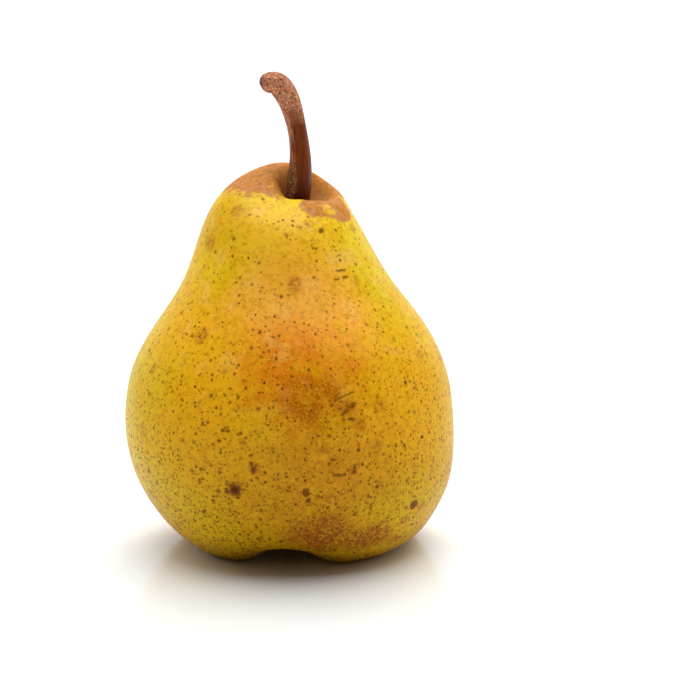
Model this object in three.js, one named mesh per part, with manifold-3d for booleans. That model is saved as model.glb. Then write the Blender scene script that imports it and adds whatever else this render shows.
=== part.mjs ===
// A ripe pear standing on its base, in millimetres: +Z up, origin on the surface under its middle.
// Three pieces: the fruit, the woody stem in the hollow between its shoulders, and the dried calyx in the
// hollow of its base. +X is the pear's right and -Y its front.
import * as THREE from "three";
import { ParametricGeometry } from "three/addons/geometries/ParametricGeometry.js";
import { mergeVertices } from "three/addons/utils/BufferGeometryUtils.js";
import Module from "manifold-3d";

// Driving dimensions
const bellyWidth = 75;
const shoulderHeight = 85;
const stemThickness = 4.3;
const calyxWidth = 13;
const seatGap = 0.3; // clear space between a piece and the hole that it sits in

const bellyRadius = bellyWidth / 2;
const stemSeat = { radius: 2.9, depth: 5 };
const calyxSeat = { radius: 3.0, depth: 3 };
const fullTurn = 2 * Math.PI;
const radians = THREE.MathUtils.degToRad;

// The fruit's outline from the stem down to the calyx. Radii are shares of the belly's radius and heights are
// shares of the shoulders' height, each at the right, back, left and front. lip says how much of the lip's
// waves that point takes, and groove how far a full groove of the base shifts it, as [radius, height].
const outline = [
  // Floor, wall and lip of the stem hollow
  { radius: [0.085, 0.085, 0.085, 0.085], height: [0.896, 0.906, 0.904, 0.892] },
  { radius: [0.16, 0.131, 0.112, 0.12], height: [0.911, 0.958, 0.955, 0.915], lip: 0.6 },
  { radius: [0.24, 0.189, 0.176, 0.179], height: [0.929, 1.001, 0.989, 0.934], lip: 1 },
  // Shoulder
  { radius: [0.291, 0.288, 0.368, 0.304], height: [0.911, 0.972, 0.968, 0.915], lip: 0.8 },
  { radius: [0.32, 0.416, 0.515, 0.445], height: [0.892, 0.901, 0.899, 0.866] },
  // Neck, down to the waist
  { radius: [0.459, 0.528, 0.587, 0.533], height: [0.8, 0.8, 0.8, 0.784] },
  { radius: [0.619, 0.651, 0.659, 0.656], height: [0.694, 0.694, 0.694, 0.682] },
  // Belly
  { radius: [0.821, 0.811, 0.805, 0.821], height: [0.588, 0.588, 0.588, 0.584] },
  { radius: [0.949, 0.933, 0.941, 0.939], height: [0.476, 0.476, 0.476, 0.476] },
  { radius: [0.992, 0.976, 0.984, 0.981], height: [0.365, 0.365, 0.365, 0.365] },
  { radius: [1.003, 0.971, 0.971, 0.976], height: [0.259, 0.259, 0.259, 0.259], groove: [-0.005, 0] },
  // Turn and flank of the base
  { radius: [0.981, 0.917, 0.901, 0.928], height: [0.165, 0.165, 0.165, 0.165], groove: [-0.011, 0] },
  { radius: [0.891, 0.827, 0.795, 0.853], height: [0.08, 0.085, 0.085, 0.08], groove: [-0.019, 0.005] },
  // Feet: their outside, their soles and their inside
  { radius: [0.8, 0.693, 0.688, 0.725], height: [0.022, 0.027, 0.027, 0.026], groove: [-0.032, 0.033] },
  { radius: [0.651, 0.533, 0.549, 0.571], height: [-0.006, -0.006, -0.006, -0.006], groove: [-0.032, 0.066] },
  { radius: [0.448, 0.368, 0.368, 0.416], height: [0.014, 0.019, 0.019, 0.014], groove: [-0.021, 0.038] },
  // Wall and floor of the calyx hollow
  { radius: [0.261, 0.235, 0.235, 0.245], height: [0.061, 0.064, 0.064, 0.061], groove: [-0.008, 0.009] },
  { radius: [0.09, 0.09, 0.09, 0.09], height: [0.089, 0.089, 0.089, 0.089] },
];

// Five grooves run from the calyx hollow out under the base. Between them the fruit stands on its feet,
// flattened a little by its own weight. In degrees, angle is measured from the right, through the back, and
// reach is how far a groove spreads to each side of it. size is a share of a full groove.
const grooves = [
  { angle: 51, reach: 34, size: 0.55 },
  { angle: 123, reach: 36, size: 0.7 },
  { angle: 192, reach: 34, size: 0.4 },
  { angle: 270, reach: 31, size: 0.87 },
  { angle: 347, reach: 36, size: 0.2 },
];

// Waves in the lip of the stem hollow, with a rise or a dip in millimetres as size
const lipWaves = [
  { angle: 48, reach: 45, size: -0.3 },
  { angle: 240, reach: 42, size: -1.0 },
  { angle: 312, reach: 60, size: 0.9 },
];

// The stem hollow lies to the right of the belly's middle, and the neck leans over to it.
const lean = { shift: 0.064 * bellyRadius, from: 0.47 * shoulderHeight, to: shoulderHeight };

// Slow waves in the skin: size in millimetres, lobes round the fruit, twist per millimetre of height, start.
const waves = [
  { size: 0.16, lobes: 2, twist: 0.071, start: 0.6 },
  { size: 0.12, lobes: 3, twist: -0.09, start: 4.4 },
  { size: 0.08, lobes: 5, twist: 0.125, start: 2.7 },
];
const wavesFade = { low: [3, 16], high: [64, 80] };

// The stem's middle line as [x, y, z] and its thickness as a share of stemThickness, from root to tip.
const stemLine = [
  { point: [1.9, 0, 72], thickness: 1.16 },
  { point: [2.15, 0, 75.6], thickness: 1.18 },
  { point: [2.45, 0, 79.2], thickness: 1.31 },
  { point: [2.75, 0, 82.6], thickness: 1.31 },
  { point: [3.03, 0, 86.1], thickness: 1.18 },
  { point: [2.85, 0.1, 89.9], thickness: 1.07 },
  { point: [2.35, 0.2, 93.6], thickness: 1.01 },
  { point: [1.55, 0.35, 97.1], thickness: 1.07 },
  { point: [0.55, 0.5, 100.3], thickness: 1.18 },
  { point: [-0.9, 0.65, 102.9], thickness: 1.25 },
  { point: [-2.35, 0.75, 104.1], thickness: 1.22 },
  { point: [-3.85, 0.8, 104.15], thickness: 1.14 },
  { point: [-5.5, 0.85, 103.3], thickness: 1.1 },
];
// The tip is domed from this share of the line on, and depth says how far the dome closes.
const tipDome = { from: 11 / 12, depth: 0.8 };
const stemRidges = [
  { size: 0.035, count: 2, start: 0.7 },
  { size: 0.025, count: 5, start: 2.1 },
];

const fruitFineness = { around: 60, perStation: 3 };
const stemFineness = { around: 12, along: 48 };

// A smooth line through the points given: a cubic B-spline whose control points are set out from them by
// what the spline would otherwise round off.
class SmoothLine extends THREE.Curve {
  constructor(points) {
    super();
    const last = points.length - 1;
    const before = points[0].clone().multiplyScalar(2).sub(points[1]);
    const after = points[last].clone().multiplyScalar(2).sub(points[last - 1]);
    const all = [before, ...points, after];
    const inner = points.map((point, i) => {
      const bend = all[i].clone().add(all[i + 2]).addScaledVector(point, -2);
      return point.clone().addScaledVector(bend, -1 / 6);
    });
    const start = inner[0].clone().multiplyScalar(2).sub(inner[1]);
    const end = inner[last].clone().multiplyScalar(2).sub(inner[last - 1]);
    this.controls = [start, ...inner, end];
    this.spans = last;
  }

  getPoint(t, target = new THREE.Vector3()) {
    const span = Math.min(Math.floor(t * this.spans), this.spans - 1);
    const s = t * this.spans - span;
    const weights = [(1 - s) ** 3, 3 * s ** 3 - 6 * s ** 2 + 4, -3 * s ** 3 + 3 * s ** 2 + 3 * s + 1, s ** 3];
    target.set(0, 0, 0);
    weights.forEach((weight, i) => target.addScaledVector(this.controls[span + i], weight / 6));
    return target;
  }
}

// Round the fruit, the four sides pass smoothly into each other.
function blendSides([right, back, left, front], angle) {
  const middle = (right + back + left + front) / 4;
  const sideways = ((right - left) / 2) * Math.cos(angle);
  const lengthways = ((back - front) / 2) * Math.sin(angle);
  const ovalness = ((right + left - back - front) / 4) * Math.cos(2 * angle);
  return middle + sideways + lengthways + ovalness;
}

// What rounded humps or grooves add up to at one angle round the fruit
function humpsAt(angle, humps) {
  const sizes = humps.map(({ angle: middle, reach, size }) => {
    const away = THREE.MathUtils.euclideanModulo(THREE.MathUtils.radToDeg(angle) - middle + 180, 360) - 180;
    return Math.abs(away) < reach ? size * (0.5 + 0.5 * Math.cos((away / reach) * Math.PI)) : 0;
  });
  return sizes.reduce((sum, size) => sum + size, 0);
}

function waveAt(angle, height) {
  const begun = THREE.MathUtils.smoothstep(height, ...wavesFade.low);
  const ended = THREE.MathUtils.smoothstep(height, ...wavesFade.high);
  const rises = waves.map(({ size, lobes, twist, start }) => {
    return size * Math.sin(lobes * angle + twist * height + start);
  });
  return begun * (1 - ended) * rises.reduce((sum, rise) => sum + rise, 0);
}

// The outline of the fruit at one angle, as radius and height, with the holes that hold the stem and the
// calyx.
function outlineAt(angle) {
  const grooved = humpsAt(angle, grooves);
  const lipRise = humpsAt(angle, lipWaves);
  const stations = outline.map(({ radius, height, groove = [0, 0], lip = 0 }) => {
    const r = bellyRadius * (blendSides(radius, angle) + groove[0] * grooved);
    const z = shoulderHeight * (blendSides(height, angle) + groove[1] * grooved) + lip * lipRise;
    return new THREE.Vector3(r, 0, z);
  });
  const line = new SmoothLine(stations);
  const steps = line.spans * fruitFineness.perStation;
  const skin = [];
  for (let i = 0; i <= steps; i++) {
    const point = line.getPoint(i / steps);
    point.x += waveAt(angle, point.z);
    point.z = Math.max(0, point.z);
    skin.push(point);
  }
  const stemFloor = shoulderHeight * outline[0].height[3] - stemSeat.depth;
  const calyxRoof = skin[steps].z + calyxSeat.depth;
  return [
    new THREE.Vector3(0, 0, stemFloor),
    new THREE.Vector3(stemSeat.radius, 0, stemFloor),
    ...skin,
    new THREE.Vector3(calyxSeat.radius, 0, calyxRoof),
    new THREE.Vector3(0, 0, calyxRoof),
  ];
}

// A closed body from a function of u, round it, and v, along it from pole to pole.
function closedBody(pointAt, around, along) {
  const shape = new ParametricGeometry(pointAt, around, along);
  shape.deleteAttribute("normal");
  shape.deleteAttribute("uv");
  const merged = mergeVertices(shape, 1e-4);
  const corners = merged.index.array;
  const kept = [];
  for (let i = 0; i < corners.length; i += 3) {
    const [a, b, c] = corners.slice(i, i + 3);
    if (a !== b && b !== c && c !== a) kept.push(a, c, b);
  }
  merged.setIndex(kept);
  return merged;
}

function fruitShape() {
  const rings = outlineAt(0).length - 1;
  const profiles = [];
  for (let i = 0; i < fruitFineness.around; i++) {
    profiles.push(outlineAt((i / fruitFineness.around) * fullTurn));
  }
  const pointAt = (u, v, target) => {
    const column = Math.round(u * fruitFineness.around) % fruitFineness.around;
    const angle = (column / fruitFineness.around) * fullTurn;
    const point = profiles[column][Math.round(v * rings)];
    const shift = lean.shift * THREE.MathUtils.smoothstep(point.z, lean.from, lean.to);
    target.set(shift + point.x * Math.cos(angle), point.x * Math.sin(angle), point.z);
  };
  return closedBody(pointAt, fruitFineness.around, rings);
}

// A body drawn along a line. side is the direction of its width, and sizeAt gives its half width and half
// thickness at a place along the line and an angle round it. Both ends are flat.
function drawnBody(line, side, sizeAt, around, along) {
  const pointAt = (u, v, target) => {
    const step = Math.round(v * (along + 2));
    const t = THREE.MathUtils.clamp((step - 1) / along, 0, 1);
    const isPole = step === 0 || step === along + 2;
    const angle = (Math.round(u * around) % around / around) * fullTurn;
    const direction = line.getTangent(t);
    const across = side.clone().addScaledVector(direction, -side.dot(direction)).normalize();
    const up = across.clone().cross(direction);
    const [halfWidth, halfThickness] = isPole ? [0, 0] : sizeAt(t, angle);
    line.getPoint(t, target);
    target.addScaledVector(across, halfWidth * Math.cos(angle));
    target.addScaledVector(up, halfThickness * Math.sin(angle));
  };
  return closedBody(pointAt, around, along + 2);
}

function stemShape() {
  const line = new SmoothLine(stemLine.map(({ point }) => new THREE.Vector3(...point)));
  const thickness = new SmoothLine(stemLine.map(({ thickness: share }) => new THREE.Vector3(share, 0, 0)));
  const sizeAt = (t, angle) => {
    const ridges = stemRidges.map(({ size, count, start }) => size * Math.sin(count * angle + start));
    const ridged = 1 + ridges.reduce((sum, value) => sum + value, 0);
    const inDome = Math.max(0, (t - tipDome.from) / (1 - tipDome.from));
    const domed = Math.sqrt(1 - tipDome.depth * inDome ** 2);
    const half = (stemThickness / 2) * thickness.getPoint(t).x * ridged * domed;
    return [half, half];
  };
  return drawnBody(line, new THREE.Vector3(0, 1, 0), sizeAt, stemFineness.around, stemFineness.along);
}

const wasm = await Module();
wasm.setup();

function toSolid(geometry) {
  const { position } = geometry.attributes;
  const triVerts = new Uint32Array(geometry.index.array);
  return new wasm.Manifold(new wasm.Mesh({ numProp: 3, vertProperties: position.array, triVerts }));
}

function toGeometry(solid) {
  const { vertProperties, triVerts } = solid.getMesh();
  const geometry = new THREE.BufferGeometry();
  geometry.setAttribute("position", new THREE.BufferAttribute(vertProperties, 3));
  geometry.setIndex(new THREE.BufferAttribute(triVerts, 1));
  return geometry;
}

// The dried calyx: a plug in the fruit's eye, five sepals that spread from it, and withered stamens.
function calyxShape() {
  const eyeHeight = shoulderHeight * outline.at(-1).height[0];
  const plug = {
    radius: calyxSeat.radius - seatGap,
    top: eyeHeight + calyxSeat.depth - seatGap,
    bottom: eyeHeight - 0.9,
  };
  const sepal = { count: 5, reach: calyxWidth / 2, width: 3.3, thickness: 0.8, start: 15 };
  const stamen = { count: 12, circle: 1.5, length: 2.3, thickness: 0.62, start: 9 };

  const spoke = (degrees) => new THREE.Vector3(Math.cos(radians(degrees)), Math.sin(radians(degrees)), 0);
  const at = (degrees, radius, height) => spoke(degrees).multiplyScalar(radius).setZ(height);

  const plugHeights = [plug.top, (plug.top + plug.bottom) / 2, plug.bottom];
  const plugLine = new SmoothLine(plugHeights.map((height) => at(0, 0, height)));
  const pieces = [drawnBody(plugLine, spoke(0), () => [plug.radius, plug.radius], 15, 2)];

  for (let i = 0; i < sepal.count; i++) {
    const degrees = sepal.start + (i * 360) / sepal.count;
    const line = new SmoothLine([
      at(degrees, 1.4, eyeHeight - 0.4),
      at(degrees, 0.52 * sepal.reach, eyeHeight - 1.3),
      at(degrees, 0.78 * sepal.reach, eyeHeight - 2.4),
      at(degrees, sepal.reach, eyeHeight - 2.8),
    ]);
    const sizeAt = (t) => [(sepal.width / 2) * (1 - t ** 1.6) + 0.3, (sepal.thickness / 2) * (1 - 0.2 * t)];
    pieces.push(drawnBody(line, spoke(degrees + 90), sizeAt, 8, 6));
  }

  for (let i = 0; i < stamen.count; i++) {
    const degrees = stamen.start + (i * 360) / stamen.count;
    const bent = degrees + (i % 2 ? 28 : -22);
    const inward = i % 3 ? 0.55 : 0.95;
    const line = new SmoothLine([
      at(degrees, stamen.circle, plug.bottom + 0.5),
      at(degrees, stamen.circle * 0.95, plug.bottom - 0.4 * stamen.length),
      at(bent, stamen.circle * inward, plug.bottom - 0.85 * stamen.length),
    ]);
    const sizeAt = (t) => [(stamen.thickness / 2) * (1 - 0.3 * t), (stamen.thickness / 2) * (1 - 0.3 * t)];
    pieces.push(drawnBody(line, spoke(degrees), sizeAt, 4, 3));
  }

  const joined = pieces.map(toSolid).reduce((whole, piece) => whole.add(piece));
  return toGeometry(joined);
}

const skin = new THREE.MeshStandardMaterial({ color: 0xd2ab1c, roughness: 0.42, metalness: 0 });
const wood = new THREE.MeshStandardMaterial({ color: 0x6b371c, roughness: 0.7, metalness: 0 });
const driedSepal = new THREE.MeshStandardMaterial({ color: 0x4a3423, roughness: 0.9, metalness: 0 });

const fruit = new THREE.Mesh(fruitShape(), skin);
fruit.name = "fruit";

const stem = new THREE.Mesh(stemShape(), wood);
stem.name = "stem";

const calyx = new THREE.Mesh(calyxShape(), driedSepal);
calyx.name = "calyx";

const pear = new THREE.Group();
pear.add(fruit, stem, calyx);

export default pear;
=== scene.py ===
import bpy
import math
import numpy as np
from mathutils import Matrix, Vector


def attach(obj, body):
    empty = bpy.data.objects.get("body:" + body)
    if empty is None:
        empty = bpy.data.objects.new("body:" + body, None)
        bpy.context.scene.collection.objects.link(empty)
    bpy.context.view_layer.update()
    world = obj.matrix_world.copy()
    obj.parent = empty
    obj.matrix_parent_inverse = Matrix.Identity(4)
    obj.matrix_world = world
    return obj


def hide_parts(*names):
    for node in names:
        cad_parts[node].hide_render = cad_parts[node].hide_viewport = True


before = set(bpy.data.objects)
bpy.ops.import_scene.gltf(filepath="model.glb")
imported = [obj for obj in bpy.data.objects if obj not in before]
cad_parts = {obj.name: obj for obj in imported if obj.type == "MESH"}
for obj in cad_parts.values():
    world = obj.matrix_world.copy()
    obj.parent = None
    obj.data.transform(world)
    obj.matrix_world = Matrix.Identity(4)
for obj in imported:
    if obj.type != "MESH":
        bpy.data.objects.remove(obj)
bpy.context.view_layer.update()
print("stage 1: the packed pear is loaded")

mm = 0.001
fullTurn = 2 * math.pi


def colour(red, green, blue):
    # A colour as a screen shows it, 0 to 255, turned into the amounts of light that Blender wants
    def light(value):
        value = value / 255
        return value / 12.92 if value < 0.04045 else ((value + 0.055) / 1.055) ** 2.4
    return (light(red), light(green), light(blue), 1)


# Camera: how far off it is and how it looks down, and which pixel of the photo the pear's base lies on
shot = {
    "distance": 620 * mm,
    "lookDown": 12.0,        # degrees
    "pixelsPerMetre": 4350,  # at the pear's base
    "imageSize": 685,
    "basePixel": (288.4, 536.0),
    "sensor": 36.0,          # millimetres
    "clip": (0.01, 50),
}


def placeCamera():
    centre = shot["imageSize"] / 2
    right = (shot["basePixel"][0] - centre) / shot["pixelsPerMetre"]
    up = (centre - shot["basePixel"][1]) / shot["pixelsPerMetre"]
    tilt = math.radians(shot["lookDown"])
    forward = Vector((0, math.cos(tilt), -math.sin(tilt)))
    upward = Vector((0, math.sin(tilt), math.cos(tilt)))
    data = bpy.data.cameras.new("photoCamera")
    data.sensor_width = shot["sensor"]
    data.sensor_fit = "HORIZONTAL"
    data.lens = shot["pixelsPerMetre"] * shot["distance"] / shot["imageSize"] * shot["sensor"]
    data.clip_start, data.clip_end = shot["clip"]
    camera = bpy.data.objects.new("photoCamera", data)
    bpy.context.scene.collection.objects.link(camera)
    camera.location = -(Vector((1, 0, 0)) * right + upward * up + forward * shot["distance"])
    camera.rotation_euler = (math.radians(90 - shot["lookDown"]), 0, 0)
    bpy.context.scene.camera = camera


# Shader helpers: a Wire is a node's output, so that numbers in a shader are worked out as in plain Python
class Wire:
    def __init__(self, nodes, socket):
        self.nodes = nodes
        self.socket = socket

    def __add__(self, other):
        return self.nodes.maths("ADD", self, other)

    def __sub__(self, other):
        return self.nodes.maths("SUBTRACT", self, other)

    def __rsub__(self, other):
        return self.nodes.maths("SUBTRACT", other, self)

    def __mul__(self, other):
        return self.nodes.maths("MULTIPLY", self, other)

    def __truediv__(self, other):
        return self.nodes.maths("DIVIDE", self, other)

    def __rtruediv__(self, other):
        return self.nodes.maths("DIVIDE", other, self)

    __radd__ = __add__
    __rmul__ = __mul__


seedStep = (17.3, -9.1, 5.7)  # how far each seed moves a noise, in millimetres


class Nodes:
    def __init__(self, tree):
        self.tree = tree

    def node(self, kind, settings=None, sockets=None, out=0):
        made = self.tree.nodes.new(kind)
        for name, value in (settings or {}).items():
            setattr(made, name, value)
        for name, value in (sockets or {}).items():
            self.feed(made.inputs[name], value)
        return Wire(self, made.outputs[out])

    def feed(self, socket, value):
        if isinstance(value, Wire):
            self.tree.links.new(value.socket, socket)
        else:
            socket.default_value = value

    def maths(self, operation, *values):
        return self.node("ShaderNodeMath", {"operation": operation}, dict(enumerate(values)))

    def vector(self, operation, *values, out=0):
        return self.node("ShaderNodeVectorMath", {"operation": operation}, dict(enumerate(values)), out)

    def scaled(self, place, amount):
        return self.node("ShaderNodeVectorMath", {"operation": "SCALE"}, {0: place, "Scale": amount})

    # 0 up to low and 1 from high on, eased between them. Where high is the smaller, it falls from 1 to 0.
    def ease(self, value, low, high):
        settings = {"interpolation_type": "SMOOTHSTEP"}
        return self.node("ShaderNodeMapRange", settings, {"Value": value, "From Min": low, "From Max": high})

    # A Mix node has its colours at sockets 6 and 7, and their mixture at 2
    def mix(self, factor, first, second):
        return self.node("ShaderNodeMix", {"data_type": "RGBA"}, {0: factor, 6: first, 7: second}, out=2)

    def millimetres(self):
        return self.scaled(self.node("ShaderNodeTexCoord", out="Object"), 1 / mm)

    def parts(self, place):
        return [self.node("ShaderNodeSeparateXYZ", None, {"Vector": place}, out=axis) for axis in "XYZ"]

    def moved(self, place, seed):
        return self.vector("ADD", place, tuple(seed * step for step in seedStep))

    # Noise between 0 and 1 whose lumps are about size across, in millimetres
    def noise(self, place, size, detail, roughness, seed):
        sockets = {"Vector": self.moved(place, seed), "Scale": 1 / size}
        sockets.update({"Detail": detail, "Roughness": roughness})
        return self.node("ShaderNodeTexNoise", None, sockets)

    def noises(self, place, rows):
        return {name: self.noise(place, *row) for name, row in rows.items()}

    # An uneven shift about zero: several noises, each by its own amount
    def fray(self, noise, amounts):
        return sum((noise[name] - 0.5) * amount for name, amount in amounts.items())

    # A place pushed about by noise, so that what is drawn there gets an uneven outline
    def warp(self, place, size, amount, seed):
        sockets = {"Vector": self.moved(place, seed), "Scale": 1 / size, "Detail": 1.0}
        swirl = self.node("ShaderNodeTexNoise", None, sockets, out="Color")
        push = self.vector("SUBTRACT", swirl, (0.5, 0.5, 0.5))
        return self.vector("ADD", place, self.scaled(push, amount))

    # 1 in the middle of a patch and 0 outside it. edge is how soft its border is, 0 to 1.
    def patch(self, place, centre, size, edge, fray):
        away = self.vector("DIVIDE", self.vector("SUBTRACT", place, centre), size)
        distance = self.vector("LENGTH", away, out="Value")
        return 1 - self.ease(distance + fray, 1 - edge, 1 + edge)

    # The strongest of several patches
    def patches(self, place, rows, edge, fray):
        found = 0
        for centre, size in rows:
            found = self.maths("MAXIMUM", self.patch(place, centre, size, edge, fray), found)
        return found

    # 1 along a thin streak between two places. Depth counts little, so that the streak follows the skin.
    def streak(self, place, start, end, width, edge, fray):
        flat = Vector((1, 0.3, 1))
        start = Vector(start) * flat
        along = Vector(end) * flat - start
        away = self.vector("SUBTRACT", self.vector("MULTIPLY", place, tuple(flat)), tuple(start))
        share = self.vector("DOT_PRODUCT", away, tuple(along), out="Value") / along.length_squared
        nearest = self.scaled(tuple(along), self.node("ShaderNodeClamp", None, {"Value": share}))
        distance = self.vector("LENGTH", self.vector("SUBTRACT", away, nearest), out="Value")
        return 1 - self.ease(distance / width + fray, 1 - edge, 1 + edge)

    # Spots in cells of a size: how far off the nearest one's middle is, and three chances of its own
    def spots(self, place, cell):
        sockets = {"Vector": place, "Scale": 1 / cell}
        away = self.node("ShaderNodeTexVoronoi", None, sockets, out="Distance") * cell
        return away, self.parts(self.node("ShaderNodeTexVoronoi", None, sockets, out="Color"))

    def bump(self, shader, height, strength, depth):
        sockets = {"Strength": strength, "Distance": depth, "Height": height}
        self.feed(shader.inputs["Normal"], self.node("ShaderNodeBump", None, sockets))


def newMaterial(name, build):
    material = bpy.data.materials.new(name)
    material.use_nodes = True
    build(Nodes(material.node_tree), material.node_tree.nodes["Principled BSDF"])
    return material


# From low to high as share goes from 0 to 1
def between(low, high, share):
    return low + (high - low) * share


def setSockets(shader, values):
    for name, value in values.items():
        shader.inputs[name].default_value = value


# A smooth line through its points, with as many steps between two of them as asked
def smoothLine(points, steps):
    points = np.asarray(points, float)
    reach = np.concatenate([[2 * points[0] - points[1]], points, [2 * points[-1] - points[-2]]])
    inner = points - (reach[:-2] - 2 * points + reach[2:]) / 6
    control = np.concatenate([[2 * inner[0] - inner[1]], inner, [2 * inner[-1] - inner[-2]]])
    line = []
    for span in range(len(points) - 1):
        last = span == len(points) - 2
        for step in range(steps + last):
            s = step / steps
            weights = [
                (1 - s) ** 3,
                3 * s ** 3 - 6 * s ** 2 + 4,
                -3 * s ** 3 + 3 * s ** 2 + 3 * s + 1,
                s ** 3,
            ]
            line.append(sum(w * control[span + i] for i, w in enumerate(weights)) / 6)
    return np.array(line)


def smoothstep(value, low, high):
    share = np.clip((value - low) / (high - low), 0, 1)
    return share * share * (3 - 2 * share)


# The map of a closed skin, unrolled round it and along it
def unroll(mesh, rings):
    count, around = rings.shape[:2]
    poleStep = 1  # millimetres of the map from a pole to its ring
    steps = np.linalg.norm(np.diff(rings, axis=0), axis=2).mean(axis=1)
    along = np.concatenate([[0], np.cumsum(steps)]) + poleStep
    along = np.concatenate([[0], along, [along[-1] + poleStep]]) / (along[-1] + poleStep)
    sheet = mesh.uv_layers.new(name="OFBake")
    corners = np.zeros(len(mesh.loops), int)
    mesh.loops.foreach_get("vertex_index", corners)
    pole = (corners == 0) | (corners == len(mesh.vertices) - 1)
    ringOf = (corners - 1) // around + 1  # 0 at the first pole, count + 1 at the last
    columnOf = np.where(pole, 0, (corners - 1) % around).astype(float)
    for polygon in mesh.polygons:
        loops = np.arange(polygon.loop_start, polygon.loop_start + polygon.loop_total)
        real = ~pole[loops]
        columns = columnOf[loops]
        if columns[real].max() - columns[real].min() > 1:  # across the seam
            columns = np.where(real & (columns == 0), around, columns)
        columns[~real] = columns[real].mean()
        columnOf[loops] = columns
    flat = np.stack([columnOf / around, along[ringOf]], axis=1)
    sheet.data.foreach_set("uv", flat.astype(np.float32).ravel())


# A closed skin over rings of points in millimetres, from one pole to the other. flipped turns its faces
# over, for rings that run down.
def closedPiece(name, rings, poles, flipped=False):
    count, around = rings.shape[:2]
    points = np.concatenate([[poles[0]], rings.reshape(-1, 3), [poles[1]]]) * mm
    row = np.arange(around)
    following = (row + 1) % around
    faces = [(0, 1 + b, 1 + a) for a, b in zip(row, following)]
    for ring in range(count - 1):
        near = 1 + ring * around
        far = near + around
        faces += [(near + a, near + b, far + b, far + a) for a, b in zip(row, following)]
    near = 1 + (count - 1) * around
    faces += [(near + a, near + b, len(points) - 1) for a, b in zip(row, following)]
    if flipped:
        faces = [face[::-1] for face in faces]
    mesh = bpy.data.meshes.new(name)
    mesh.from_pydata(points.tolist(), [], faces)
    unroll(mesh, rings)
    mesh.polygons.foreach_set("use_smooth", np.ones(len(mesh.polygons), bool))
    mesh.update()
    piece = bpy.data.objects.new(name, mesh)
    bpy.context.scene.collection.objects.link(piece)
    return piece


# Fruit. The outline runs from the stem down to the calyx, as shares of the belly's radius and of the
# shoulders' height at the right, back, left and front, and then how far a full groove shifts that point.
# A fourth value is how much of the lip's waves the point takes.
fruit = {
    "bellyRadius": 37.5,
    "shoulderHeight": 85.0,
    "outline": [
        ((0.085, 0.085, 0.085, 0.085), (0.896, 0.906, 0.904, 0.892), (0, 0)),  # floor of the stem hollow
        ((0.16, 0.131, 0.112, 0.12), (0.911, 0.958, 0.955, 0.915), (0, 0), 0.6),
        ((0.24, 0.189, 0.176, 0.179), (0.929, 1.001, 0.989, 0.934), (0, 0), 1),       # its lip
        ((0.291, 0.288, 0.368, 0.304), (0.911, 0.972, 0.968, 0.915), (0, 0), 0.8),    # shoulder
        ((0.32, 0.416, 0.515, 0.445), (0.892, 0.901, 0.899, 0.866), (0, 0)),
        ((0.459, 0.528, 0.587, 0.533), (0.8, 0.8, 0.8, 0.784), (0, 0)),        # neck
        ((0.619, 0.651, 0.659, 0.656), (0.694, 0.694, 0.694, 0.682), (0, 0)),
        ((0.821, 0.811, 0.805, 0.821), (0.588, 0.588, 0.588, 0.584), (0, 0)),  # belly
        ((0.949, 0.933, 0.941, 0.939), (0.476, 0.476, 0.476, 0.476), (0, 0)),
        ((0.992, 0.976, 0.984, 0.981), (0.365, 0.365, 0.365, 0.365), (0, 0)),
        ((1.003, 0.971, 0.971, 0.976), (0.259, 0.259, 0.259, 0.259), (-0.005, 0)),
        ((0.981, 0.917, 0.901, 0.928), (0.165, 0.165, 0.165, 0.165), (-0.011, 0)),
        ((0.891, 0.827, 0.795, 0.853), (0.08, 0.085, 0.085, 0.08), (-0.019, 0.005)),
        ((0.8, 0.693, 0.688, 0.725), (0.022, 0.027, 0.027, 0.026), (-0.032, 0.033)),
        ((0.651, 0.533, 0.549, 0.571), (-0.006, -0.006, -0.006, -0.006), (-0.032, 0.066)),  # feet
        ((0.448, 0.368, 0.368, 0.416), (0.014, 0.019, 0.019, 0.014), (-0.021, 0.038)),
        ((0.261, 0.235, 0.235, 0.245), (0.061, 0.064, 0.064, 0.061), (-0.008, 0.009)),
        ((0.09, 0.09, 0.09, 0.09), (0.089, 0.089, 0.089, 0.089), (0, 0)),      # floor of the calyx hollow
    ],
    # Angle, reach and size of each groove, and angle, reach and rise in millimetres of the lip's waves
    "grooves": [(51, 34, 0.55), (123, 36, 0.7), (192, 34, 0.4), (270, 31, 0.87), (347, 36, 0.2)],
    "lipWaves": [(48, 45, -0.3), (240, 42, -1.0), (312, 60, 0.9)],
    "leanShare": 0.064,  # of the belly's radius, at the shoulders
    "leanFrom": 0.47,    # share of the shoulders' height where the lean starts
    # Size, lobes, twist and start of the skin's waves, and the heights where they come and go
    "waves": [(0.16, 2, 0.071, 0.6), (0.12, 3, -0.09, 4.4), (0.08, 5, 0.125, 2.7)],
    "wavesLow": (3, 16),
    "wavesHigh": (64, 80),
    "stemSeat": (2.9, 5),   # radius and depth
    "calyxSeat": (3.0, 3),
    "around": 270,
    "perStation": 20,
}


def blendSides(sides, angle):
    right, back, left, front = sides
    middle = (right + back + left + front) / 4
    swing = (right - left) / 2 * np.cos(angle) + (back - front) / 2 * np.sin(angle)
    return middle + swing + (right + left - back - front) / 4 * np.cos(2 * angle)


# What rounded humps or grooves add up to at each angle round the fruit
def humps(angle, sizes):
    total = np.zeros_like(angle)
    for middle, reach, size in sizes:
        away = (np.degrees(angle) - middle + 180) % 360 - 180
        total += np.where(abs(away) < reach, size * (0.5 + 0.5 * np.cos(away / reach * math.pi)), 0)
    return total


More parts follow.
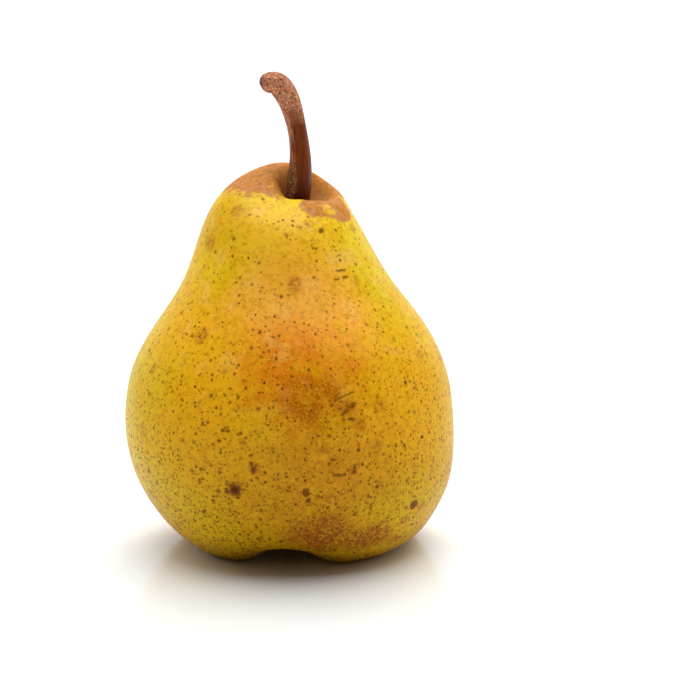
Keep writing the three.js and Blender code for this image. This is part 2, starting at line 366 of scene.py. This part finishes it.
def fruitRings():
    angle = np.arange(fruit["around"]) / fruit["around"] * fullTurn
    grooved = humps(angle, fruit["grooves"])
    lipRise = humps(angle, fruit["lipWaves"])
    stations = []
    for radius, height, shift, *lip in fruit["outline"]:
        r = fruit["bellyRadius"] * (blendSides(radius, angle) + shift[0] * grooved)
        z = fruit["shoulderHeight"] * (blendSides(height, angle) + shift[1] * grooved) + sum(lip) * lipRise
        stations.append((r, z))
    line = smoothLine(stations, fruit["perStation"])
    r, z = line[:, 0], line[:, 1]
    fade = smoothstep(z, *fruit["wavesLow"]) * (1 - smoothstep(z, *fruit["wavesHigh"]))
    for size, lobes, twist, start in fruit["waves"]:
        r = r + fade * size * np.sin(lobes * angle + twist * z + start)
    z = np.maximum(0, z)
    stemFloor = fruit["shoulderHeight"] * fruit["outline"][0][1][3] - fruit["stemSeat"][1]
    calyxRoof = fruit["shoulderHeight"] * fruit["outline"][-1][1][0] + fruit["calyxSeat"][1]
    hole = np.ones_like(angle)
    r = np.concatenate([[fruit["stemSeat"][0] * hole], r, [fruit["calyxSeat"][0] * hole]])
    z = np.concatenate([[stemFloor * hole], z, [calyxRoof * hole]])
    leanTop = fruit["shoulderHeight"]
    lean = fruit["leanShare"] * fruit["bellyRadius"] * smoothstep(z, fruit["leanFrom"] * leanTop, leanTop)
    rings = np.stack([r * np.cos(angle) + lean, r * np.sin(angle), z], axis=2)
    poles = [(rings[0, :, 0].mean(), 0, stemFloor), (0, 0, calyxRoof)]
    return rings, poles


# Skin: places on the pear are in millimetres, as (x, y, z) with the front at -y
skinLook = {
    "lemon": colour(240, 206, 38),
    "yellow": colour(230, 184, 12),
    "ochre": colour(208, 160, 4),
    "green": colour(204, 190, 16),
    "orange": colour(240, 158, 30),
    "peach": colour(252, 176, 68),
    "blush": colour(216, 106, 4),
    "rust": colour(176, 92, 2),
    "dot": colour(98, 46, 4),
    "russet": colour(198, 130, 78),
    "russetOrange": colour(200, 124, 48),
    "russetBrown": colour(150, 92, 42),
    "lowRusset": colour(156, 74, 20),
    "scar": colour(104, 40, 10),
    "core": colour(60, 18, 10),
    "pale": colour(242, 190, 92),
    "gold": colour(222, 168, 4),
    "noises": {  # size of the lumps, detail, roughness, seed
        "broad": (16, 2, 0.5, 1),
        "gaps": (6, 3, 0.6, 16),
        "mottle": (5, 3, 0.55, 15),
        "medium": (4.5, 3, 0.55, 2),
        "patchy": (3.2, 3, 0.6, 10),
        "flecks": (1.7, 3, 0.65, 9),
        "fine": (1.1, 3, 0.6, 3),
        "grain": (0.5, 2, 0.6, 4),
    },
    "warp": (0.9, 0.55, 8),  # size, amount and seed of the unevenness of dots and scratches
    # The heights between which one colour gives way to the next
    "ochreToYellow": (14, 46),
    "yellowToLemon": (56, 76),
    "paleAbove": (30, 60),
    # How much each noise frays a border
    "bandFray": {"broad": 22},
    "washFray": {"broad": 0.9, "medium": 1.1, "fine": 0.35},
    "dotFray": {"medium": 22},
    "dotOutline": {"grain": 0.2},
    "russetFray": {"medium": 0.8, "fine": 0.7},
    "bareFray": 1.6,  # times the russet's
    "baseFray": 1.2,
    "stainFray": {"fine": 1.6, "grain": 1.0},
    "smearFray": 0.8,  # times the stains'
    "streakFray": 0.9,
    # How soft the border of each kind of patch is, 0 to 1
    "edges": {
        "washes": 0.85,
        "topRusset": 0.07,
        "bare": 0.4,
        "paintedHollowShade": 0.3,
        "baseRusset": 0.45,
        "stains": 0.5,
        "smears": 0.5,
        "streaks": 0.6,
        "marks": 0.25,
        "core": 0.4,
    },
    # Where in its noise a thing starts and is full
    "steps": {
        "gaps": (0.4, 0.6),
        "flecks": (0.62, 0.68),
        "orange": (0.42, 0.58),
        "brown": (0.45, 0.66),
        "net": (0.4, 0.58),
        "noBlotch": (0.7, 0.8),
    },
    "strengths": {
        "bare": 0.6,
        "flecks": 0.5,
        "brown": 0.6,
        "paintedHollowShade": 0.6,
        "topRusset": 0.94,
        "halo": 0.6,
        "smears": 0.85,
        "marks": 0.85,
        "core": 0.7,
    },
    # The same where it differs from place to place: least and most
    "brokenStrength": (0.65, 1),
    "baseStrength": (0.3, 0.95),
    "stainStrength": (0.15, 0.6),
    "blotchStrength": (0.15, 0.7),
    "streakStrength": (0.6, 1),
    "brokenWashes": ("blush", "rust"),  # these two are thinner in places
    "washes": [  # colour, middle, size, strength
        ("green", (-34, -14, 42), (11, 18, 17), 0.8),
        ("green", (-27, -20, 51), (7, 10, 7), 0.35),
        ("green", (-29, -20, 22), (9, 12, 8), 0.35),
        ("green", (-26, -24, 14), (14, 12, 8), 0.4),
        ("green", (25, -25, 13), (14, 12, 8), 0.4),
        ("lemon", (16, -8, 68), (8, 12, 10), 0.7),
        ("green", (17, -8, 66), (7, 12, 10), 0.3),
        ("green", (24, -16, 54), (9, 12, 10), 0.5),
        ("green", (24, 24, 34), (22, 22, 26), 0.7),
        ("green", (-18, 28, 50), (20, 16, 16), 0.5),
        ("ochre", (-6, 36, 24), (26, 14, 14), 0.7),
        ("gold", (14, 22, 60), (16, 14, 12), 0.7),
        ("orange", (10, 34, 38), (12, 10, 9), 0.4),
        ("lemon", (-24, 2, 56), (9, 18, 16), 0.6),
        ("lemon", (34, -6, 40), (9, 18, 20), 0.3),
        ("lemon", (-36, -4, 26), (8, 16, 14), 0.6),
        ("ochre", (-13, -8, 74), (8, 11, 6), 0.75),
        ("orange", (-17, -31, 40), (9, 9, 10), 0.4),
        ("gold", (-22, -26, 37), (12, 14, 14), 0.55),
        ("orange", (-24, -16, 54), (8, 12, 9), 0.4),
        ("orange", (21, -29, 40), (8, 9, 10), 0.45),
        ("orange", (29, -21, 40), (9, 12, 14), 0.5),
        ("gold", (29, -21, 40), (10, 14, 15), 0.45),
        ("peach", (-1, -14, 73), (9, 6, 6), 0.35),
        ("orange", (1, -29, 55), (15, 14, 11), 0.85),
        ("peach", (5, -25, 58), (12, 10, 8), 0.7),
        ("peach", (13, -26, 53), (7, 8, 6), 0.6),
        ("peach", (4, -24, 60), (12, 8, 7), 0.7),
        ("pale", (2, -23, 61.5), (10, 8, 5), 0.4),
        ("orange", (4, -21, 66), (9, 10, 8), 0.5),
        ("orange", (-20, -26, 28), (13, 12, 12), 0.2),
        ("orange", (8, -34, 26), (18, 10, 12), 0.3),
        ("blush", (3, -33, 45), (12, 12, 9), 0.75),
        ("blush", (-2, -33, 46), (6, 6, 5.5), 0.6),
        ("blush", (2, -29, 53), (7, 6, 4.5), 0.28),
        ("blush", (14, -30, 46), (4.5, 6, 4), 0.45),
        ("rust", (7.5, -35, 39.5), (7, 7, 5), 0.9),
        ("rust", (10, -36, 32), (12, 9, 7), 0.25),
        ("rust", (9, -34, 20), (20, 10, 11), 0.4),
        ("yellow", (20, -24, 7), (13, 13, 6.5), 0.8),
        ("yellow", (-18, -24, 7), (13, 13, 6.5), 0.7),
    ],
    "mottling": [  # colour, noise, where in it the colour starts and is full, strength
        ("pale", "mottle", 0.52, 0.68, 0.5),
        ("gold", "mottle", 0.48, 0.34, 0.5),
        ("orange", "medium", 0.45, 0.75, 0.4),
        ("rust", "fine", 0.42, 0.72, 0.36),
        ("lemon", "grain", 0.5, 0.3, 0.36),
    ],
    "dotShare": 0.15,  # how many cells have a dot near the stem
    "dotCrowds": [(28, 66, 0.33), (6, 36, 0.46)],  # heights between which more come in, how many
    "dotFringe": 0.08,  # the share of the cells whose dot is fainter
    "dotSizes": (0.55, 1.25),  # least and most, as shares of the radius
    "dotStrengths": (0.45, 1),
    "dotEdge": (0.35, 1.2),
    "dotLayers": [  # cell, radius, seed, strength
        (2.1, 0.5, 5, 0.95),
        (0.95, 0.36, 6, 0.9),
        (0.62, 0.22, 7, 0.6),
    ],
    "blotchCell": 5.2,
    "blotchRadius": 1.1,
    "blotchSizes": (0.4, 1.6),
    "blotchEdge": (0.5, 1.3),
    "blotchTop": 90,  # the smaller, the faster they thin out with height
    "topRusset": [  # middle, size
        ((-5, 3, 85.3), (14.5, 13.4, 8)),
        ((2.4, 0.8, 80), (8, 7.4, 6)),
        ((8, 6, 82), (9, 9, 6)),
        ((0, 12, 82), (12, 8, 7)),
        ((6.2, -9.6, 78.7), (3.5, 4.6, 2.8)),
        ((9, -8.5, 78.3), (5, 4.5, 2.6)),
        ((11, -3.6, 78.6), (3.6, 3.6, 2.4)),
        ((12, -5.5, 76.6), (3.7, 4.6, 2.7)),
    ],
    "bare": [  # middle, size: where yellow skin shows in the russet
        ((9.0, -8.2, 77.8), (1.3, 1.3, 0.6)),
        ((10.0, -8.8, 76.9), (1.2, 1.2, 0.6)),
        ((13.4, 6, 80), (1.8, 3, 1.0)),
    ],
    "paintedHollowShade": ((2.4, 0, 79.6), (6.4, 6, 5.2)),  # painted shade: the hollow round the stem darkened
    "baseRusset": [
        ((8.5, -31.5, 9.5), (8, 7, 4.6)),
        ((17, -28, 8), (8, 6, 3.3)),
        ((0, 0, 5), (13, 13, 6)),
    ],
    "coreSize": 0.45,  # as a share of the first mark's
    "marks": [  # middle, size: scars, the first with a dark core
        ((-10.8, -34.4, 20.3), (1.5, 1.5, 1.7)),
        ((-12.6, -34.0, 19.6), (0.8, 0.8, 0.7)),
        ((4.6, -35.8, 19.9), (0.9, 0.9, 1.0)),
        ((5.1, -35.6, 18.1), (0.7, 0.7, 0.7)),
        ((28, -23, 13.9), (1.6, 1.2, 1.1)),
    ],
    "smears": [  # middle, size: brown rubs, darker than the stains
        ((-6.8, -36.1, 25.0), (0.8, 0.8, 0.8)),
        ((-13.3, -34.2, 33.4), (0.5, 0.5, 0.4)),
        ((-12.2, -34.5, 33.4), (0.5, 0.5, 0.4)),
        ((7.8, -14, 73.6), (0.7, 0.7, 0.6)),
        ((14.2, -33.5, 35.8), (0.7, 0.7, 0.4)),
    ],
    "streaks": [  # from, to, half width: scratches
        ((14.8, -32.6, 38.8), (13.7, -33.2, 38.1), 0.5),
        ((13.7, -33.2, 38.1), (12.5, -33.9, 36.9), 0.42),
        ((10.8, -33.8, 39.9), (12.9, -32.7, 40.8), 0.3),
        ((12.9, -32.7, 40.8), (14.8, -31.8, 41.3), 0.24),
        ((10.5, -35.4, 23.7), (12.5, -34.8, 23.6), 0.34),
        ((15.1, -33.9, 25.5), (15.0, -33.8, 24.0), 0.36),
        ((11.1, -17.2, 65.2), (12.9, -16.0, 65.1), 0.26),
        ((10.8, -18.3, 63.5), (11.5, -17.9, 63.5), 0.26),
        ((12.6, -17.1, 63.7), (13.4, -16.7, 63.7), 0.28),
    ],
    "stains": [  # middle, size: faint brown clusters
        ((13.8, -33.0, 38.4), (1.8, 1.8, 1.7)),
        ((19.9, -31.3, 29.1), (1.3, 1.3, 1.8)),
        ((16.3, -32.8, 34.2), (1.5, 1.5, 1.5)),
        ((-18.5, -22.2, 51.8), (1.9, 1.9, 1.7)),
        ((-29.4, -17, 43.3), (1.1, 1.1, 1.6)),
        ((2.0, -21.8, 62.8), (1.6, 2.0, 2.0)),
        ((-10.6, -10.4, 77.2), (1.9, 1.9, 1.3)),
        ((-16.8, -10, 70), (2.2, 2.2, 1.8)),
        ((5.2, -14.2, 75.0), (1.2, 1.2, 0.9)),
        ((14.9, -6.2, 72.8), (1.2, 1.6, 1.0)),
        ((24, -22, 5.6), (2.6, 2.6, 1.4)),
        ((25.9, -23.7, 10.6), (1.4, 1.4, 1.2)),
    ],
    "roughness": 0.4,
    "relief": (0.4, 0.12 * mm),  # strength, depth
    "finish": {
        "Specular IOR Level": 0.09,
        "Subsurface Weight": 0.1,
        "Subsurface Radius": (1.0, 0.5, 0.1),
        "Subsurface Scale": 1.5 * mm,
    },
}


# The clean skin: bands of colour by height, washes in their places, and mottling
def groundColour(nodes, place, z, noise):
    look = skinLook
    height = z + nodes.fray(noise, look["bandFray"])
    skin = nodes.mix(nodes.ease(height, *look["ochreToYellow"]), look["ochre"], look["yellow"])
    skin = nodes.mix(nodes.ease(height, *look["yellowToLemon"]), skin, look["lemon"])
    wobble = nodes.fray(noise, look["washFray"])
    broken = between(*look["brokenStrength"], nodes.ease(noise["gaps"], *look["steps"]["gaps"]))
    for name, centre, size, strength in look["washes"]:
        share = broken * strength if name in look["brokenWashes"] else strength
        patch = nodes.patch(place, centre, size, look["edges"]["washes"], wobble)
        skin = nodes.mix(patch * share, skin, look[name])
    high = nodes.ease(z, *look["paleAbove"])
    for name, source, low, full, strength in look["mottling"]:
        share = nodes.ease(noise[source], low, full) * strength
        skin = nodes.mix(share * high if name == "pale" else share, skin, look[name])
    return skin


# Dots: pores in the skin, uneven in outline, closer together towards the base
def dotMask(nodes, uneven, z, noise):
    look = skinLook
    height = z + nodes.fray(noise, look["dotFray"])
    amount = look["dotShare"]
    for low, high, more in look["dotCrowds"]:
        amount = amount + more * nodes.ease(height, high, low)
    found = 0
    for cell, radius, seed, strength in look["dotLayers"]:
        shifted = nodes.vector("ADD", uneven, (seed, -2 * seed, 3 * seed))
        away, chance = nodes.spots(shifted, cell)
        wide = radius * between(*look["dotSizes"], chance[0]) + nodes.fray(noise, look["dotOutline"])
        there = 1 - nodes.ease(chance[1], amount, amount + look["dotFringe"])
        spot = 1 - nodes.ease(away / wide, *look["dotEdge"])
        spot = spot * there * strength * between(*look["dotStrengths"], chance[2])
        found = nodes.maths("MAXIMUM", spot, found)
    return found


# Russet round the stem: where it lies, with yellow skin showing through, its mottled brown and painted
# hollow shade
def topRusset(nodes, place, noise):
    look, edges, steps, strengths = skinLook, skinLook["edges"], skinLook["steps"], skinLook["strengths"]
    fray = nodes.fray(noise, look["russetFray"])
    bare = nodes.patches(place, look["bare"], edges["bare"], fray * look["bareFray"]) * strengths["bare"]
    flecks = nodes.ease(noise["flecks"], *steps["flecks"]) * strengths["flecks"]
    russet = nodes.patches(place, look["topRusset"], edges["topRusset"], fray)
    russet = russet * (1 - nodes.maths("MAXIMUM", bare, flecks))
    shade = nodes.mix(nodes.ease(noise["patchy"], *steps["orange"]), look["russet"], look["russetOrange"])
    brown = nodes.ease(noise["fine"], *steps["brown"]) * strengths["brown"]
    shade = nodes.mix(brown, shade, look["russetBrown"])
    # painted shade: the russet darkened to brown in the hollow round the stem
    hollow = nodes.patch(place, *look["paintedHollowShade"], edges["paintedHollowShade"], fray) * strengths["paintedHollowShade"]
    return russet, nodes.mix(hollow, shade, look["russetBrown"])


# Blotches: small brown nets scattered over the skin, fewer towards the stem
def blotchMask(nodes, uneven, z, ragged):
    look = skinLook
    away, chance = nodes.spots(uneven, look["blotchCell"])
    reach = look["blotchRadius"] * between(*look["blotchSizes"], chance[0])
    blotch = 1 - nodes.ease(away / reach + ragged, *look["blotchEdge"])
    return blotch * (1 - nodes.ease(chance[1] + z / look["blotchTop"], *look["steps"]["noBlotch"]))


# Brown rubs and scratches
def smearMask(nodes, place, uneven, ragged, net):
    look = skinLook
    found = nodes.patches(place, look["smears"], look["edges"]["smears"], ragged * look["smearFray"])
    strength = between(*look["streakStrength"], net)
    for start, end, width in look["streaks"]:
        fray = ragged * look["streakFray"]
        streak = nodes.streak(uneven, start, end, width, look["edges"]["streaks"], fray)
        found = nodes.maths("MAXIMUM", streak * strength, found)
    return found


def skinColours(nodes, shader):
    look, edges, strengths = skinLook, skinLook["edges"], skinLook["strengths"]
    place = nodes.millimetres()
    z = nodes.parts(place)[2]
    noise = nodes.noises(place, look["noises"])
    uneven = nodes.warp(place, *look["warp"])
    ragged = nodes.fray(noise, look["stainFray"])
    net = nodes.ease(noise["fine"] * 0.6 + noise["grain"] * 0.4, *look["steps"]["net"])  # brown threads

    skin = groundColour(nodes, place, z, noise)
    dots = dotMask(nodes, uneven, z, noise)
    skin = nodes.mix(dots * strengths["halo"], skin, look["rust"])
    skin = nodes.mix(dots, skin, look["dot"])
    russet, shade = topRusset(nodes, place, noise)
    skin = nodes.mix(russet * strengths["topRusset"], skin, shade)

    fray = nodes.fray(noise, look["russetFray"]) * look["baseFray"]
    baseRusset = nodes.patches(place, look["baseRusset"], edges["baseRusset"], fray)
    skin = nodes.mix(baseRusset * between(*look["baseStrength"], net), skin, look["lowRusset"])
    stains = nodes.patches(place, look["stains"], edges["stains"], ragged)
    skin = nodes.mix(stains * between(*look["stainStrength"], net), skin, look["lowRusset"])
    blotches = blotchMask(nodes, uneven, z, ragged)
    skin = nodes.mix(blotches * between(*look["blotchStrength"], net), skin, look["lowRusset"])

    smears = smearMask(nodes, place, uneven, ragged, net)
    skin = nodes.mix(smears * strengths["smears"], skin, look["dot"])
    marks = nodes.patches(place, look["marks"], edges["marks"], ragged)
    skin = nodes.mix(marks * strengths["marks"], skin, look["scar"])
    centre, size = look["marks"][0]
    core = nodes.patch(place, centre, [look["coreSize"] * side for side in size], edges["core"], ragged)
    skin = nodes.mix(core * strengths["core"], skin, look["core"])

    nodes.feed(shader.inputs["Base Color"], skin)
    nodes.feed(shader.inputs["Roughness"], look["roughness"] + 0.2 * russet + 0.1 * marks)
    height = noise["fine"] * 0.5 + noise["medium"] * 0.6 + russet * 0.3 - dots * 0.6 - marks
    nodes.bump(shader, height, *look["relief"])
    setSockets(shader, look["finish"])


# Stem: its middle line as (x, y, z) and its thickness as a share of the slimmest part's
stem = {
    "thickness": 4.3,
    "line": [
        ((1.9, 0, 72), 1.16), ((2.15, 0, 75.6), 1.18), ((2.45, 0, 79.2), 1.31), ((2.75, 0, 82.6), 1.31),
        ((3.03, 0, 86.1), 1.18), ((2.85, 0.1, 89.9), 1.07), ((2.35, 0.2, 93.6), 1.01),
        ((1.55, 0.35, 97.1), 1.07), ((0.55, 0.5, 100.3), 1.18), ((-0.9, 0.65, 102.9), 1.25),
        ((-2.35, 0.75, 104.1), 1.22), ((-3.85, 0.8, 104.15), 1.14), ((-5.5, 0.85, 103.3), 1.1),
    ],
    "tipDome": (11 / 12, 0.8),  # where the domed tip starts, as a share of the line, and how far it closes
    "ridges": [(0.035, 2, 0.7), (0.025, 5, 2.1)],  # size, count, start
    "around": 72,
    "perStation": 18,
}


# Rings round a line. side is the direction that an angle of 0 points in.
def sweptRings(line, side, radius, angle):
    direction = np.gradient(line, axis=0)
    direction /= np.linalg.norm(direction, axis=1)[:, None]
    across = side - direction * (direction @ side)[:, None]
    across /= np.linalg.norm(across, axis=1)[:, None]
    up = np.cross(direction, across)
    wide = radius[..., None] * np.cos(angle)[None, :, None] * across[:, None]
    thick = radius[..., None] * np.sin(angle)[None, :, None] * up[:, None]
    return line[:, None] + wide + thick


def stemRings():
    line = smoothLine([point for point, share in stem["line"]], stem["perStation"])
    share = smoothLine([[share] for point, share in stem["line"]], stem["perStation"])
    angle = np.arange(stem["around"]) / stem["around"] * fullTurn
    ridged = 1 + sum(size * np.sin(count * angle + start) for size, count, start in stem["ridges"])
    domeFrom, domeDepth = stem["tipDome"]
    inDome = np.maximum(0, (np.linspace(0, 1, len(line))[:, None] - domeFrom) / (1 - domeFrom))
    half = stem["thickness"] / 2 * share * ridged * np.sqrt(1 - domeDepth * inDome ** 2)
    rings = sweptRings(line, np.array([0.0, 1, 0]), half, angle)
    return rings, [line[0], line[-1]]


stemLook = {
    "bark": colour(118, 52, 6),
    "dark": colour(58, 18, 3),
    "foot": colour(74, 16, 0),
    "olive": colour(118, 80, 38),
    "tan": colour(200, 130, 94),
    "speck": colour(104, 46, 26),
    "pale": colour(240, 194, 150),
    # the broken end's colour, used too as painted shade under the knob
    "cutEndAndShade": colour(96, 58, 48),
    "noises": {  # size of the lumps, detail, roughness, seed
        "coarse": (2.2, 3, 0.6, 11),
        "fine": (0.5, 3, 0.65, 12),
        "specks": (0.65, 2, 0.6, 14),
    },
    "grain": (0.8, 3, 0.6, 13),  # the same for lines along the stem
    "grainStretch": (1, 1, 0.16),
    # Where the stem's middle runs, seen from the front: how far right of the fruit's middle it is at the
    # height of its bend, and how fast it falls away below and above
    "middle": 3,
    "bendHeight": 88,
    "fallBelow": 0.0045,
    "fallAbove": 0.015,
    # The heights between which each kind of bark and the pale grain with its painted highlight come in
    "footToBark": (77, 88),
    "flankUpTo": (90, 84),
    "grainAndHighlightFrom": (84, 88),
    "grainAndHighlightUpTo": (100, 96),
    "upperFrom": (94.5, 101.5),
    # How far left of the stem's middle the olive flank and the pale grain with its painted highlight start
    # and are full
    "flankLeft": (0.5, 1.0),
    "grainAndHighlightLeft": (0.9, 1.4),
    # How much each noise frays a border
    "upperFray": {"coarse": 8},
    "footFray": {"coarse": 4},
    "flankFray": {"fine": 1.6, "coarse": 2},
    "grainAndHighlightFray": {"coarse": 0.8},
    "cutEndAndShadeFray": {"fine": 0.8},
    # Where in its noise a thing starts and is full
    "steps": {"dark": (0.45, 0.7), "grainAndHighlight": (0.4, 0.6), "specks": (0.5, 0.62), "pale": (0.46, 0.34)},
    "strengths": {"dark": 0.5, "flank": 0.8, "grainAndHighlight": 0.7, "upper": 0.92, "pale": 0.8, "cutEndAndShade": 0.8},
    "speckStrength": (0.15, 0.8),  # on smooth bark and on rough
    "roughness": (0.42, 0.77),
    "cutEndAndShadeEdge": 0.25,
    "cutEndAndShadePatches": [  # middle, size: the broken end where the stem came off the twig, and painted shade under the knob
        ((-6.9, 0.8, 104.2), (2.0, 5, 2.8)),
        ((-5.0, 0.8, 100.9), (3.0, 5, 1.8)),
    ],
    "relief": (0.8, 0.3 * mm),  # strength, depth
    "finish": {"Specular IOR Level": 0.16},
}


# How far a place is to the left of the stem's middle, in millimetres
def leftOfStem(nodes, x, z):
    look = stemLook
    below = nodes.maths("MINIMUM", z - look["bendHeight"], 0)
    above = nodes.maths("MAXIMUM", z - look["bendHeight"], 0)
    return look["middle"] - below * below * look["fallBelow"] - above * above * look["fallAbove"] - x


def stemColours(nodes, shader):
    look, steps, strengths = stemLook, stemLook["steps"], stemLook["strengths"]
    place = nodes.millimetres()
    x, _, z = nodes.parts(place)
    noise = nodes.noises(place, look["noises"])
    grain = nodes.noise(nodes.vector("MULTIPLY", place, look["grainStretch"]), *look["grain"])
    left = leftOfStem(nodes, x, z)
    upper = nodes.ease(z + nodes.fray(noise, look["upperFray"]), *look["upperFrom"])
    flank = nodes.ease(left + nodes.fray(noise, look["flankFray"]), *look["flankLeft"])
    flank = flank * nodes.ease(z, *look["flankUpTo"])
    # pale tan lines down the stem's left edge: bark grain, and a painted highlight along that edge
    grainAndHighlight = nodes.ease(left + nodes.fray(noise, look["grainAndHighlightFray"]), *look["grainAndHighlightLeft"])
    grainAndHighlight = grainAndHighlight * nodes.ease(z, *look["grainAndHighlightFrom"]) * nodes.ease(z, *look["grainAndHighlightUpTo"])
    rough = nodes.maths("MAXIMUM", upper, flank * strengths["flank"])

    height = z + nodes.fray(noise, look["footFray"])
    bark = nodes.mix(nodes.ease(height, *look["footToBark"]), look["foot"], look["bark"])
    bark = nodes.mix(nodes.ease(grain, *steps["dark"]) * strengths["dark"], bark, look["dark"])
    bark = nodes.mix(flank * strengths["flank"], bark, look["olive"])
    lines = nodes.ease(grain, *steps["grainAndHighlight"]) * strengths["grainAndHighlight"]
    bark = nodes.mix(grainAndHighlight * lines, bark, look["tan"])
    bark = nodes.mix(upper * strengths["upper"], bark, look["tan"])
    specks = nodes.ease(noise["specks"], *steps["specks"])
    bark = nodes.mix(specks * between(*look["speckStrength"], rough), bark, look["speck"])
    flakes = nodes.ease(noise["fine"], *steps["pale"]) * rough
    bark = nodes.mix(flakes * strengths["pale"], bark, look["pale"])
    # the broken end darkened, and painted shade under the knob
    cutEndAndShade = nodes.patches(place, look["cutEndAndShadePatches"], look["cutEndAndShadeEdge"], nodes.fray(noise, look["cutEndAndShadeFray"]))
    bark = nodes.mix(cutEndAndShade * strengths["cutEndAndShade"], bark, look["cutEndAndShade"])

    nodes.feed(shader.inputs["Base Color"], bark)
    nodes.feed(shader.inputs["Roughness"], between(*look["roughness"], rough))
    height = noise["fine"] * (0.4 + 0.8 * rough) - noise["specks"] * rough
    nodes.bump(shader, height + grain * 0.5 + noise["coarse"] * 0.4, *look["relief"])
    setSockets(shader, look["finish"])


# Calyx: the dried flower in the eye under the fruit
calyxLook = {
    "sepal": colour(92, 66, 44),
    "tip": colour(40, 28, 20),
    "grain": (0.6, 3, 0.6, 21),  # size of the lumps, detail, roughness, seed
    "tipToSepal": (4.4, 6.4),  # the heights between which the tips' colour gives way
    "heightFray": 1.5,
    "tipStep": (0.45, 0.7),
    "tipStrength": 0.5,
    "relief": (0.7, 0.3 * mm),
    "finish": {"Roughness": 0.9},
}


def calyxColours(nodes, shader):
    look = calyxLook
    place = nodes.millimetres()
    z = nodes.parts(place)[2]
    grain = nodes.noise(place, *look["grain"])
    height = z + (grain - 0.5) * look["heightFray"]
    dry = nodes.mix(nodes.ease(height, *look["tipToSepal"]), look["tip"], look["sepal"])
    dry = nodes.mix(nodes.ease(grain, *look["tipStep"]) * look["tipStrength"], dry, look["tip"])
    nodes.feed(shader.inputs["Base Color"], dry)
    nodes.bump(shader, grain, *look["relief"])
    setSockets(shader, look["finish"])


# Stage: a white glossy table under broad lamps, the strongest overhead and behind the pear
stageLook = {
    "floorSize": 8.0,
    "floorFinish": {
        "Base Color": (0.895, 0.925, 0.92, 1),
        "Roughness": 0.12,
        "Specular IOR Level": 0.45,
    },
    "room": (0.03, 1.0, 0.12),  # how bright the room is in front, behind and overhead
    "frontToBehind": (0, 0.8),      # the y of a direction where the front gives way to the wall behind
    "wallToOverhead": (0.15, 0.6),  # the z where the ceiling takes over
    "lamps": [  # name, direction that it shines from, width in degrees, strength, what it lights
        ("topLamp", (0.05, 0.3, 0.95), 64, 3.6, "both"),
        ("leftLamp", (-0.92, -0.15, 0.36), 60, 0.7, "pear"),
        ("rightLamp", (0.92, -0.15, 0.36), 60, 0.75, "pear"),
        ("frontLamp", (0, -0.62, 0.78), 60, 0.36, "pear"),
        ("backTableLamp", (0.05, 0.88, 0.46), 46, 1.5, "table"),
        ("leftTableLamp", (-0.6, 0.74, 0.3), 36, 1.2, "table"),
        ("rightTableLamp", (0.6, 0.74, 0.3), 36, 1.2, "table"),
    ],
}


def floorFinish(nodes, shader):
    setSockets(shader, stageLook["floorFinish"])


def lampGroup(name, pieces):
    group = bpy.data.collections.new(name)
    for piece in pieces:
        group.objects.link(piece)
    return group


def layTable():
    half = stageLook["floorSize"] / 2
    corners = [(-half, -half, 0), (half, -half, 0), (half, half, 0), (-half, half, 0)]
    mesh = bpy.data.meshes.new("tableTop")
    mesh.from_pydata(corners, [], [(0, 1, 2, 3)])
    floor = bpy.data.objects.new("tableTop", mesh)
    bpy.context.scene.collection.objects.link(floor)
    mesh.materials.append(newMaterial("whiteTable", floorFinish))
    return floor


# The room's own light: a pale wall behind the pear, and dimmer elsewhere
def lightRoom():
    world = bpy.data.worlds.new("studio")
    bpy.context.scene.world = world
    world.use_nodes = True
    background = world.node_tree.nodes["Background"]
    nodes = Nodes(world.node_tree)
    y, z = nodes.parts(nodes.node("ShaderNodeTexCoord", out="Generated"))[1:]
    front, behind, overhead = stageLook["room"]
    level = nodes.ease(y, *stageLook["frontToBehind"]) * (behind - front) + front
    sky = nodes.ease(z, *stageLook["wallToOverhead"])
    nodes.feed(background.inputs["Strength"], level * (1 - sky) + sky * overhead)
    background.inputs["Color"].default_value = (1, 1, 1, 1)


def hangLamps(pieces, floor):
    groups = {"pear": lampGroup("pear", pieces), "table": lampGroup("table", [floor])}
    for name, spot, width, strength, target in stageLook["lamps"]:
        data = bpy.data.lights.new(name, "SUN")
        data.angle = math.radians(width)
        data.energy = strength
        lamp = bpy.data.objects.new(name, data)
        bpy.context.scene.collection.objects.link(lamp)
        lamp.location = Vector(spot)
        lamp.rotation_euler = Vector(spot).to_track_quat("Z", "Y").to_euler()
        if target in groups:  # lights only the pear or only the table, and doesn't show in the gloss
            lamp.light_linking.receiver_collection = groups[target]
            lamp.visible_glossy = False


placeCamera()
print("stage 2: the camera looks at the pear as in the photo")

fruitPiece = closedPiece("pearFruit", *fruitRings(), flipped=True)
fruitPiece.data.materials.append(newMaterial("pearSkin", skinColours))
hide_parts("fruit")
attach(fruitPiece, "root")
print("stage 3: the fruit is grown")

stemPiece = closedPiece("pearStem", *stemRings())
stemPiece.data.materials.append(newMaterial("stemBark", stemColours))
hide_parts("stem")
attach(stemPiece, "root")
print("stage 4: the stem stands in its hollow")

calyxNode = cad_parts["calyx"]
calyxNode.data.materials.clear()
calyxNode.data.materials.append(newMaterial("drySepal", calyxColours))
print("stage 5: the calyx is in the eye")

hangLamps([fruitPiece, stemPiece, calyxNode], layTable())
lightRoom()
bpy.context.scene.view_settings.view_transform = "Standard"
print("stage 6: the table and the lights are set")
